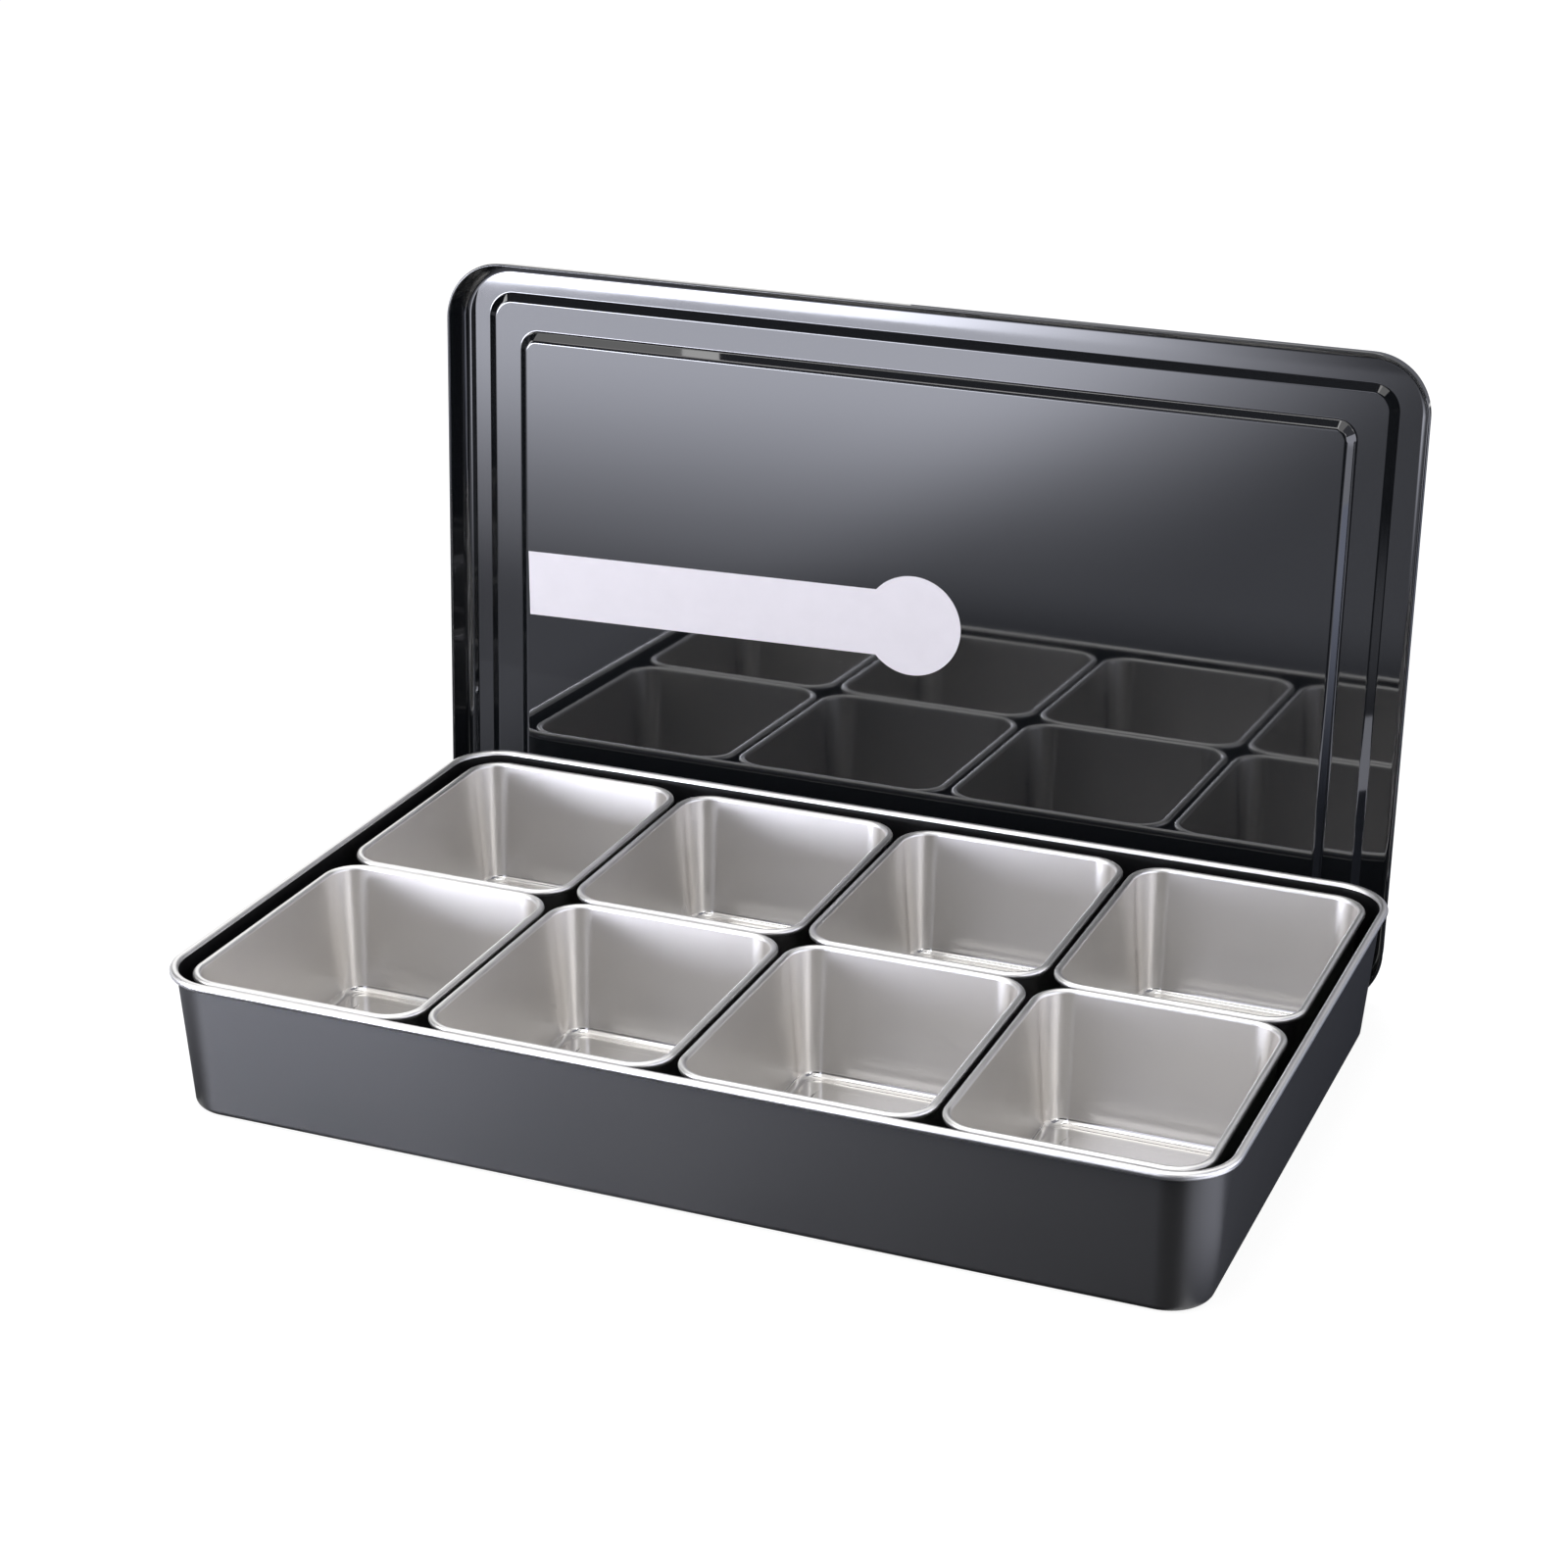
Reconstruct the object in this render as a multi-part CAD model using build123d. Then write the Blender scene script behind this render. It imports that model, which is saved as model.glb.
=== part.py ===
"""Bar garnish tray, in millimetres.

A deep pressed tray with a rolled edge stands on a flat floor. Eight small pressed pans stand loose in it,
in two rows of four. Its stepped lid is off, and stands on a long edge behind it, leaning back a little,
with its open side to the front.

The origin is the middle of the tray's underside, +X runs along the tray's length to the right, +Y to its
back, and +Z is up.
"""

from build123d import *

import os
from dataclasses import dataclass

# Tray: outer sizes over its rolled edge, then the sheet, the roll's middle radius and the bends
TRAY_LENGTH = 405.0
TRAY_WIDTH = 262.0
TRAY_HEIGHT = 56.0
TRAY_SHEET = 0.8
TRAY_CORNER = 23.5
TRAY_ROLL = 1.2
TRAY_ROLL_TAIL = 0.5
TRAY_TAPER = 4.6
TRAY_FLOOR_BEND = 2.6
TRAY_FLOOR_LAP = 4.2

# Pans: how they share the tray, then their own sheet and bends
PAN_COLUMNS = 4
PAN_ROWS = ("front", "back")
PAN_END_GAP = 5.4
PAN_SIDE_GAP = 5.0
PAN_COLUMN_GAP = 2.3
PAN_ROW_GAP = 1.4
PAN_DROP = 2.4
PAN_SHEET = 0.7
PAN_CORNER = 14.8
PAN_BEAD = 1.5
PAN_TAPER = 4.0
PAN_FLOOR_BEND = 3.6
PAN_FLOOR_LAP = 4.4
PAN_PANEL_INSET = 8.4
PAN_PANEL_CORNER = 7.0
PAN_PANEL_RISE = 0.9
PAN_PANEL_SLOPE = 1.6
PAN_PANEL_LAP = 1.2

# Lid: how it fits over the tray's rolled edge, then its sheet, its rim and its two steps
LID_END_CLEARANCE = 2.3
LID_SIDE_CLEARANCE = 0.3
LID_DEPTH = 13.0
LID_SHEET = 0.7
LID_BEAD = 0.6
LID_DRAFT = 1.6
LID_SHOULDER = 3.6
LID_OUTER_BAND = 14.1
LID_STEP_SLOPE = 3.4
LID_STEP_BEND = 2.0
LID_STEP_LAP = 3.0
LID_OUTER_STEP = 1.5
LID_INNER_BAND = 29.3
LID_INNER_STEP = 3.0
LID_INNER_CORNER = 10.3
LID_INNER_LAP = 2.3

# Where the lid stands, off the tray
LID_STAND_GAP = 2.6
LID_STAND_SHIFT = -9.0
LID_LEAN_DEG = 1.8

QUARTER_TURN_DEG = 90.0


@dataclass
class Outline:
    """A rectangle with round corners, centred on the Z axis, that a pressed sheet follows."""

    length: float
    width: float
    radius: float

    def inset(self, distance):
        """Return the outline that runs this distance inside, with its corners on the same centres."""
        return Outline(self.length - 2 * distance, self.width - 2 * distance, self.radius - distance)

    def path(self):
        """Return the outline as one closed line that starts in the middle of its right side."""
        x, y = self.length / 2, self.width / 2
        flat_x, flat_y = x - self.radius, y - self.radius
        start = (x, 0)
        corners = [(1, 1), (-1, 1), (-1, -1), (1, -1)]
        edges = []
        for i, (side_x, side_y) in enumerate(corners):
            on_end = (side_x * x, side_y * flat_y)
            on_side = (side_x * flat_x, side_y * y)
            enter, leave = (on_end, on_side) if i % 2 == 0 else (on_side, on_end)
            turn = RadiusArc(enter, leave, -self.radius)
            edges += [Line(start, enter), turn]
            start = leave
        edges.append(Line(start, (x, 0)))
        return Wire([edge.edge() for edge in edges])

    def plate(self, thickness, height):
        """Return a flat sheet that fills the outline, with its underside at this height."""
        return Pos(0, 0, height) * extrude(RectangleRounded(self.length, self.width, self.radius), thickness)


def sheet_section(points, bends, sheet):
    """Return the section of a bent sheet whose middle line turns at these points with these radii."""
    return trace(FilletPolyline(*points, radius=bends), sheet)


def pressed_ring(outline, section):
    """Return the section, drawn as (outward, up), taken all round the outline."""
    plane = Plane(origin=(outline.length / 2, 0, 0), x_dir=(1, 0, 0), z_dir=(0, -1, 0))
    return sweep((plane * section).face(), path=outline.path())


def step_line(level, rise, lap, slope):
    """Return the points of a step that goes from the outline inward, up or down to a new level."""
    return [(0, level), (-lap, level), (-lap - slope, level + rise), (-2 * lap - slope, level + rise)]


def roll_width():
    """Return how wide the tray's edge is over its roll, the wall's own sheet included."""
    return 2 * TRAY_ROLL + TRAY_SHEET


def build_tray():
    """Press the tray: floor, tapered walls and an edge rolled outward and under, nearly closed."""
    roll_out = 2 * TRAY_ROLL
    top = TRAY_HEIGHT - TRAY_SHEET / 2
    under = top - roll_out
    floor_edge = TRAY_TAPER + TRAY_FLOOR_LAP
    points = [
        (-floor_edge, TRAY_SHEET / 2),
        (-TRAY_TAPER, TRAY_SHEET / 2),
        (0, top),
        (roll_out, top),
        (roll_out, under),
        (roll_out - TRAY_ROLL - TRAY_ROLL_TAIL, under),
    ]
    bends = [TRAY_FLOOR_BEND, TRAY_ROLL, TRAY_ROLL, TRAY_ROLL]
    middle = Outline(TRAY_LENGTH, TRAY_WIDTH, TRAY_CORNER).inset(TRAY_SHEET / 2 + roll_out)
    walls = pressed_ring(middle, sheet_section(points, bends, TRAY_SHEET))
    floor = middle.inset(floor_edge).plate(TRAY_SHEET, 0)
    return walls + floor


def pan_size():
    """Return a pan's length along X and width along Y over its bead, from the room inside the tray."""
    room_x = TRAY_LENGTH - 2 * roll_width() - 2 * PAN_END_GAP - (PAN_COLUMNS - 1) * PAN_COLUMN_GAP
    room_y = TRAY_WIDTH - 2 * roll_width() - 2 * PAN_SIDE_GAP - (len(PAN_ROWS) - 1) * PAN_ROW_GAP
    return room_x / PAN_COLUMNS, room_y / len(PAN_ROWS)


def build_pan():
    """Press one pan, standing at the origin: stepped floor, tapered walls and a closed rolled bead."""
    size_x, size_y = pan_size()
    height = TRAY_HEIGHT - PAN_DROP - TRAY_SHEET
    bead_out = PAN_BEAD - PAN_SHEET / 2
    bead_up = height - PAN_BEAD
    middle = Outline(size_x, size_y, PAN_CORNER).inset(PAN_BEAD + bead_out)
    floor_edge = PAN_TAPER + PAN_FLOOR_LAP
    points = [(-floor_edge, PAN_SHEET / 2), (-PAN_TAPER, PAN_SHEET / 2), (0, bead_up)]
    wall = sheet_section(points, PAN_FLOOR_BEND, PAN_SHEET) + Pos(bead_out, bead_up) * Circle(PAN_BEAD)
    pan = pressed_ring(middle, wall)

    panel = middle.inset(PAN_TAPER + PAN_PANEL_INSET)
    panel.radius = PAN_PANEL_CORNER
    border = middle.inset(floor_edge)
    pan += border.plate(PAN_SHEET, 0) - panel.plate(PAN_SHEET, 0)
    under = step_line(0, PAN_PANEL_RISE, PAN_PANEL_LAP, PAN_PANEL_SLOPE)
    over = step_line(PAN_SHEET, PAN_PANEL_RISE, PAN_PANEL_LAP, PAN_PANEL_SLOPE)
    pan += pressed_ring(panel, make_face(Polyline(*under, *reversed(over), close=True)))
    pan += panel.inset(2 * PAN_PANEL_LAP + PAN_PANEL_SLOPE).plate(PAN_SHEET, PAN_PANEL_RISE)
    return pan


def lid_rim():
    """Return the outline over the lid's bead, which clears the tray's rolled edge all round."""
    at_ends = LID_END_CLEARANCE + 2 * LID_BEAD
    at_sides = LID_SIDE_CLEARANCE + 2 * LID_BEAD
    return Outline(TRAY_LENGTH + 2 * at_ends, TRAY_WIDTH + 2 * at_sides, TRAY_CORNER + at_sides)


def build_lid():
    """Press the lid as it lies on the tray: beaded rim at the bottom, band, step, band, step and panel."""
    rim = lid_rim()
    top = LID_DEPTH - LID_SHEET / 2
    outer_level = top - LID_OUTER_STEP
    points = [
        (-LID_BEAD, LID_BEAD),
        (-LID_BEAD - LID_DRAFT, top),
        (-LID_OUTER_BAND, top),
        (-LID_OUTER_BAND - LID_STEP_SLOPE, outer_level),
        (-LID_OUTER_BAND - LID_STEP_SLOPE - LID_STEP_LAP, outer_level),
    ]
    bends = [LID_SHOULDER, LID_STEP_BEND, LID_STEP_BEND]
    skirt = sheet_section(points, bends, LID_SHEET) + Pos(-LID_BEAD, LID_BEAD) * Circle(LID_BEAD)
    lid = pressed_ring(rim, skirt)

    inner = rim.inset(LID_INNER_BAND - LID_INNER_LAP)
    inner.radius = LID_INNER_CORNER
    band = rim.inset(LID_OUTER_BAND + LID_STEP_SLOPE + LID_STEP_LAP)
    band_low = outer_level - LID_SHEET / 2
    lid += band.plate(LID_SHEET, band_low) - inner.plate(LID_SHEET, band_low)
    step = step_line(outer_level, -LID_INNER_STEP, LID_INNER_LAP, LID_STEP_SLOPE)
    lid += pressed_ring(inner, sheet_section(step, LID_STEP_BEND, LID_SHEET))
    panel = inner.inset(2 * LID_INNER_LAP + LID_STEP_SLOPE)
    lid += panel.plate(LID_SHEET, band_low - LID_INNER_STEP)
    return lid


def stand_lid(lid):
    """Stand the lid on the bead of one long side, behind the tray, open side to the front."""
    bead_to_origin = Pos(0, LID_BEAD - lid_rim().width / 2, -LID_BEAD)
    upright = Rot(-QUARTER_TURN_DEG - LID_LEAN_DEG, 0, 0)
    behind = Pos(LID_STAND_SHIFT, TRAY_WIDTH / 2 + LID_STAND_GAP + LID_BEAD, LID_BEAD)
    return behind * upright * bead_to_origin * lid


def pan_places():
    """Return each pan's name and the middle of its place, row by row from the front left."""
    size_x, size_y = pan_size()
    pitch_x, pitch_y = size_x + PAN_COLUMN_GAP, size_y + PAN_ROW_GAP
    places = []
    for row, row_name in enumerate(PAN_ROWS):
        for column in range(PAN_COLUMNS):
            x = (column - (PAN_COLUMNS - 1) / 2) * pitch_x
            y = (row - (len(PAN_ROWS) - 1) / 2) * pitch_y
            places.append((f"pan_{row_name}_{column + 1}", x, y))
    return places


def main():
    """Build every piece and write one file for each."""
    os.makedirs("parts", exist_ok=True)
    export_step(build_tray(), "parts/tray.step")
    export_step(stand_lid(build_lid()), "parts/lid.step")
    pan = build_pan()
    for name, x, y in pan_places():
        export_step(Pos(x, y, TRAY_SHEET) * pan, f"parts/{name}.step")


main()
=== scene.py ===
"""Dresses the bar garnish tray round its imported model, in metres.

The tray is one pressed sheet with a satin black coat and a rolled edge of bare steel. Eight pans of bare
satin steel stand loose in it, in two rows. The lid has a gloss black coat, is off, and stands on a long edge
behind the tray with its open side to the front and a blank sticker on its middle panel.

Every pressed piece is lofted again here through fine rings on the sizes of the model, with the exact
direction of its surface on every corner, so that reflections run smoothly over its bends.
"""

import logging
import math
from dataclasses import dataclass, field, replace
from enum import Enum, IntEnum

import bpy
from mathutils import Matrix, Vector

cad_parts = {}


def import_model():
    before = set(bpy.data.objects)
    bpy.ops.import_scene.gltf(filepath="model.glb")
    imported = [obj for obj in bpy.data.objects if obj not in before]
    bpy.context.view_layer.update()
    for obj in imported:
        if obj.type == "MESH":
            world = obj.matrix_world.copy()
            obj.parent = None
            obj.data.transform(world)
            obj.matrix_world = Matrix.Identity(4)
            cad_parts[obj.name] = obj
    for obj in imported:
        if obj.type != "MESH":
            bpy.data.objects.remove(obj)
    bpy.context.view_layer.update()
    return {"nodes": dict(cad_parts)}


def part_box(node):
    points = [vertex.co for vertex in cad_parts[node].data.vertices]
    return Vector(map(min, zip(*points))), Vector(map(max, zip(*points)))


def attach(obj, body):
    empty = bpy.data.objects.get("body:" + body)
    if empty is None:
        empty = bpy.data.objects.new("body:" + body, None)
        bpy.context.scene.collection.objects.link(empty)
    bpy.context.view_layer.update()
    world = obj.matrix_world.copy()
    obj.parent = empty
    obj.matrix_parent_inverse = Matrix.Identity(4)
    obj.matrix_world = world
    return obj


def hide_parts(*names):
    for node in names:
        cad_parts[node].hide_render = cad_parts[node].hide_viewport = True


LOG = logging.getLogger("garnish_tray")

MM = 0.001
QUARTER_TURN = math.pi / 2
HALF_TURN = math.pi
FULL_TURN = 2 * math.pi

Point = tuple[float, float]
Place = tuple[float, float, float]
Colour = tuple[float, float, float]

WHITE = (1.0, 1.0, 1.0)

# How much faster a noise changes along each axis: alike along all, or in fine lines that run level
EVEN = (1.0, 1.0, 1.0)
LEVEL_GRAIN = (1.0, 1.0, 24.0)

# The range that a noise mostly keeps to, and how far brushing is turned, as a share of a whole turn
NOISE_LOW = 0.3
NOISE_HIGH = 0.7
BRUSH_TURN = 0.25


class Slot(Enum):
    """The model's material slots."""

    TRAY = "tray_coat"
    LID = "lid_coat"
    PAN = "pan_steel"


class Skin(IntEnum):
    """Which of a piece's finishes covers a stretch of its sheet."""

    MAIN = 0
    TRIM = 1
    FLOOR = 2
    BACK = 3


def put_in_scene(name: str, data: bpy.types.ID) -> bpy.types.Object:
    """Add an object to the scene.

    Args:
        name: the object's name.
        data: its mesh, lamp or camera.

    Returns:
        The new object.
    """
    thing = bpy.data.objects.new(name, data)
    bpy.context.scene.collection.objects.link(thing)
    return thing


# Sections of bent sheet, drawn as (out, up)


def leftward(way: Vector) -> Vector:
    """Return the direction a quarter turn to the left of this one."""
    return Vector((-way.y, way.x))


def heading(angle: float) -> Vector:
    """Return the unit direction at this angle from outward, turning up."""
    return Vector((math.cos(angle), math.sin(angle)))


@dataclass(frozen=True)
class Stop:
    """A point on a section, with the ways that the surface faces just before and just after it."""

    at: Vector
    before: Vector
    after: Vector
    skin: Skin = Skin.MAIN


@dataclass
class BentLine:
    """The middle line of a bent sheet: where it would turn with no bends, and the bends' radii."""

    points: list[Point]
    bends: list[float]
    sheet: float
    bend_step: float = math.radians(9)

    def samples(self) -> list[tuple[Vector, Vector]]:
        """Walk the line with its bends rounded.

        Returns:
            Points along the line, each with the way the line runs there.
        """
        corners = [Vector(point) for point in self.points]
        found = [(corners[0], (corners[1] - corners[0]).normalized())]
        for start, corner, end, bend in zip(corners, corners[1:], corners[2:], self.bends):
            arrive = (corner - start).normalized()
            leave = (end - corner).normalized()
            turn = math.atan2(arrive.cross(leave), arrive.dot(leave))
            side = math.copysign(bend, turn)
            first = corner - arrive * bend * math.tan(abs(turn) / 2)
            centre = first + leftward(arrive) * side
            steps = max(2, math.ceil(abs(turn) / self.bend_step))
            for step in range(steps + 1):
                along = Matrix.Rotation(turn * step / steps, 2) @ arrive
                found.append((centre - leftward(along) * side, along))
        found.append((corners[-1], (corners[-1] - corners[-2]).normalized()))
        return found

    def left_face(self) -> list[Stop]:
        """Return the face on the left of the line, from its start to its end."""
        return [
            Stop(at + leftward(along) * self.sheet / 2, leftward(along), leftward(along))
            for at, along in self.samples()
        ]

    def right_face(self) -> list[Stop]:
        """Return the face on the right of the line, from its end back to its start."""
        return [
            Stop(at - leftward(along) * self.sheet / 2, -leftward(along), -leftward(along))
            for at, along in reversed(self.samples())
        ]

    def round_end(self, steps: int = 6) -> list[Stop]:
        """Return the half round edge at the end of the line, from its left face to its right.

        Args:
            steps: how many facets the edge has.

        Returns:
            The stops between the two faces.
        """
        at, along = self.samples()[-1]
        first = math.atan2(leftward(along).y, leftward(along).x)
        ways = [heading(first - HALF_TURN * step / steps) for step in range(1, steps)]
        return [Stop(at + way * self.sheet / 2, way, way) for way in ways]


@dataclass(frozen=True)
class Bead:
    """The closed roll that a sheet's edge ends in."""

    centre: Vector
    radius: float
    steps: int = 40

    def met_by(self, face_end: Vector, along: Vector) -> Vector:
        """Find where a straight face first meets the bead.

        Args:
            face_end: where the face would end.
            along: the way that the face runs.

        Returns:
            The point on the bead.
        """
        offset = face_end - self.centre
        nearest = -offset.dot(along)
        gap = (offset + along * nearest).length
        return face_end + along * (nearest - math.sqrt(max(self.radius**2 - gap**2, 0.0)))

    def way_to(self, point: Vector) -> float:
        """Return the angle of a point on the bead, seen from its middle."""
        spoke = point - self.centre
        return math.atan2(spoke.y, spoke.x)

    def close(self, line: BentLine) -> list[Stop]:
        """Return a sheet's whole section: its inner face, the bead it ends in, and its outer face.

        Args:
            line: the sheet's middle line, which ends inside the bead.

        Returns:
            The stops, with a crease where each face meets the bead, which is the piece's trim.
        """
        inner, outer = line.left_face(), line.right_face()
        along = line.samples()[-1][1]
        enter = self.met_by(inner[-1].at, along)
        leave = self.met_by(outer[0].at, along)
        first = self.way_to(enter)
        sweep = (first - self.way_to(leave)) % FULL_TURN
        ways = [heading(first - sweep * step / self.steps) for step in range(self.steps + 1)]
        roll = [Stop(self.centre + way * self.radius, way, way, Skin.TRIM) for way in ways[1:-1]]
        start = Stop(enter, inner[-1].after, ways[0], Skin.TRIM)
        end = Stop(leave, ways[-1], outer[0].before, Skin.BACK)
        back = [replace(stop, skin=Skin.BACK) for stop in outer[1:]]
        return inner[:-1] + [start] + roll + [end] + back


# Outlines seen from above, and the rings that a pressed piece is lofted through


@dataclass(frozen=True)
class Outline:
    """A rectangle with round corners, centred on its own origin."""

    length: float
    width: float
    radius: float

    def inset(self, distance: float, radius: float | None = None) -> "Outline":
        """Return the outline this far inside, its corners on the same centres unless a radius is given."""
        kept = self.radius - distance if radius is None else radius
        return Outline(self.length - 2 * distance, self.width - 2 * distance, kept)

    def around(self, corner_steps: int) -> list[tuple[Vector, Vector]]:
        """Return points round the outline, each with the way that the outline faces there.

        Args:
            corner_steps: how many facets each corner has.

        Returns:
            The points with their directions, counter-clockwise from the right side's top end.
        """
        found = []
        reach = Vector((self.length / 2 - self.radius, self.width / 2 - self.radius))
        for corner, (side_x, side_y) in enumerate([(1, 1), (-1, 1), (-1, -1), (1, -1)]):
            centre = Vector((side_x * reach.x, side_y * reach.y))
            for step in range(corner_steps + 1):
                way = heading(QUARTER_TURN * (corner + step / corner_steps))
                found.append((centre + way * self.radius, way))
        return found


@dataclass(frozen=True)
class Ring:
    """One round of a pressed piece, at one height."""

    outline: Outline
    up: float
    before: Vector
    after: Vector
    skin: Skin


def rings_of(base: Outline, stops: list[Stop]) -> list[Ring]:
    """Return the rings that carry a section round an outline."""
    return [Ring(base.inset(-stop.at.x), stop.at.y, stop.before, stop.after, stop.skin) for stop in stops]


@dataclass
class PressedShell:
    """A pressed piece, lofted from the middle of its inner face, over its rim, to the middle outside."""

    name: str
    rings: list[Ring]
    place: Matrix
    corner_steps: int = 20

    def build(self) -> bpy.types.Object:
        """Make the mesh, with the true direction of the surface at each face's corners.

        Returns:
            The piece, which has no finishes yet.
        """
        turn = self.place.to_3x3()
        rounds = [ring.outline.around(self.corner_steps) for ring in self.rings]
        count = len(rounds[0])
        vertices = []
        for ring, points in zip(self.rings, rounds):
            vertices += [self.place @ Vector((at.x, at.y, ring.up)) for at, _ in points]
        faces, skins, directions = [], [], []

        def facing(points: list[tuple[Vector, Vector]], index: int, way: Vector) -> Vector:
            """Return a section's direction, turned to this point of the outline and into place."""
            outward = points[index % count][1]
            return turn @ Vector((outward.x * way.x, outward.y * way.x, way.y))

        for i, (inner, outer) in enumerate(zip(self.rings, self.rings[1:])):
            low, high = i * count, (i + 1) * count
            for j in range(count):
                k = (j + 1) % count
                faces.append((low + j, high + j, high + k, low + k))
                skins.append(inner.skin)
                directions += [
                    facing(rounds[i], j, inner.after),
                    facing(rounds[i + 1], j, outer.before),
                    facing(rounds[i + 1], k, outer.before),
                    facing(rounds[i], k, inner.after),
                ]
        last = (len(self.rings) - 1) * count
        for face, ring, way in (
            (tuple(range(count)), self.rings[0], Vector((0, 0, 1))),
            (tuple(reversed(range(last, last + count))), self.rings[-1], Vector((0, 0, -1))),
        ):
            faces.append(face)
            skins.append(ring.skin)
            directions += [turn @ way] * count

        mesh = bpy.data.meshes.new(self.name)
        mesh.from_pydata(vertices, [], faces)
        mesh.polygons.foreach_set("material_index", [int(skin) for skin in skins])
        mesh.polygons.foreach_set("use_smooth", [True] * len(faces))
        mesh.normals_split_custom_set(directions)
        mesh.update()
        return put_in_scene(self.name, mesh)


# Finishes


@dataclass
class NodeBench:
    """Adds and joins the nodes of one material."""

    tree: bpy.types.NodeTree

    def add(self, kind: str, inputs: dict[str, object] | None = None, **settings: object) -> bpy.types.Node:
        """Add a node.

        Args:
            kind: Blender's name for the type of node.
            inputs: a value, or an output to join, for each named input.
            settings: the node's own settings.

        Returns:
            The new node.
        """
        node = self.tree.nodes.new(kind)
        for name, value in settings.items():
            setattr(node, name, value)
        for name, value in (inputs or {}).items():
            if isinstance(value, bpy.types.NodeSocket):
                self.tree.links.new(value, node.inputs[name])
            else:
                node.inputs[name].default_value = value
        return node

    def number(self, value: float) -> bpy.types.NodeSocket:
        """Add a fixed number.

        Args:
            value: the number.

        Returns:
            Its output.
        """
        node = self.add("ShaderNodeValue")
        node.outputs[0].default_value = value
        return node.outputs[0]

    def math(
        self, operation: str, first: bpy.types.NodeSocket, second: bpy.types.NodeSocket
    ) -> bpy.types.NodeSocket:
        """Join two numbers.

        Args:
            operation: Blender's name for what is done with them.
            first: the first number.
            second: the second number.

        Returns:
            What the operation makes of them.
        """
        node = self.add("ShaderNodeMath", operation=operation)
        self.tree.links.new(first, node.inputs[0])
        self.tree.links.new(second, node.inputs[1])
        return node.outputs[0]

    def noise(self, stretch: Place, scale: float, detail: float = 2.0) -> bpy.types.NodeSocket:
        """Add noise in the piece's own metres.

        Args:
            stretch: how much faster the noise changes along each axis.
            scale: how many changes there are in a metre.
            detail: how many finer octaves are added.

        Returns:
            The noise, from 0 to 1.
        """
        place = self.add("ShaderNodeTexCoord").outputs["Object"]
        scaled = self.add("ShaderNodeMapping", {"Vector": place, "Scale": stretch})
        made = self.add(
            "ShaderNodeTexNoise",
            {"Vector": scaled.outputs["Vector"], "Scale": scale, "Detail": detail},
        )
        return made.outputs["Fac"]

    def spread(self, source: bpy.types.NodeSocket, low: float, high: float) -> bpy.types.NodeSocket:
        """Map a noise from its usual range.

        Args:
            source: the noise.
            low: what its usual least becomes.
            high: what its usual most becomes.

        Returns:
            The mapped noise.
        """
        mapped = self.add(
            "ShaderNodeMapRange",
            {"Value": source, "From Min": NOISE_LOW, "From Max": NOISE_HIGH, "To Min": low, "To Max": high},
        )
        return mapped.outputs["Result"]

    def bump(self, height: bpy.types.NodeSocket, depth: float) -> bpy.types.NodeSocket:
        """Return the direction of a surface with this relief, whose full depth is given in metres."""
        made = self.add("ShaderNodeBump", {"Height": height, "Distance": depth, "Strength": 1.0})
        return made.outputs["Normal"]

    def brush(self, shader: bpy.types.Node, amount: float) -> None:
        """Brush a surface level round its piece, so that what it reflects is drawn out up and down.

        Args:
            shader: the surface's shader.
            amount: how far the reflections are drawn out, from 0 to 1.
        """
        level = self.add("ShaderNodeTangent", direction_type="RADIAL", axis="Z")
        shader.inputs["Anisotropic"].default_value = amount
        shader.inputs["Anisotropic Rotation"].default_value = BRUSH_TURN
        self.tree.links.new(level.outputs["Tangent"], shader.inputs["Tangent"])

    def blend(self, source: bpy.types.NodeSocket, low: Colour, high: Colour) -> bpy.types.NodeSocket:
        """Blend two colours.

        Args:
            source: how far the blend has gone, from 0 to 1.
            low: the colour at 0.
            high: the colour at 1.

        Returns:
            The blended colour.
        """
        tone = self.add("ShaderNodeMix", data_type="RGBA")
        self.tree.links.new(source, tone.inputs["Factor"])
        tone.inputs["A"].default_value = (*low, 1)
        tone.inputs["B"].default_value = (*high, 1)
        return tone.outputs["Result"]


def new_bench(owner: bpy.types.Material | bpy.types.World) -> NodeBench:
    """Clear the nodes of a material or of a world.

    Args:
        owner: the material or the world.

    Returns:
        An empty bench for its nodes.
    """
    owner.use_nodes = True
    owner.node_tree.nodes.clear()
    return NodeBench(owner.node_tree)


@dataclass(frozen=True)
class Finish:
    """One finish: its name, its colour and how rough it is."""

    name: str
    colour: Colour
    roughness: float

    def material(self) -> bpy.types.Material:
        """Find the finish's material, or make it on first use.

        Returns:
            The material.
        """
        found = bpy.data.materials.get(self.name)
        if found:
            return found
        made = bpy.data.materials.new(self.name)
        bench = new_bench(made)
        surface = self.surface(bench)
        bench.add("ShaderNodeOutputMaterial", {"Surface": surface.outputs[0]})
        return made

    def surface(self, bench: NodeBench) -> bpy.types.Node:
        """Return the shader, which each kind of finish makes in its own way."""
        raise NotImplementedError


def tinted(colour: Colour, share: float) -> Colour:
    """Return the colour made lighter or darker by this share."""
    return tuple(value * (1 + share) for value in colour)


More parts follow.
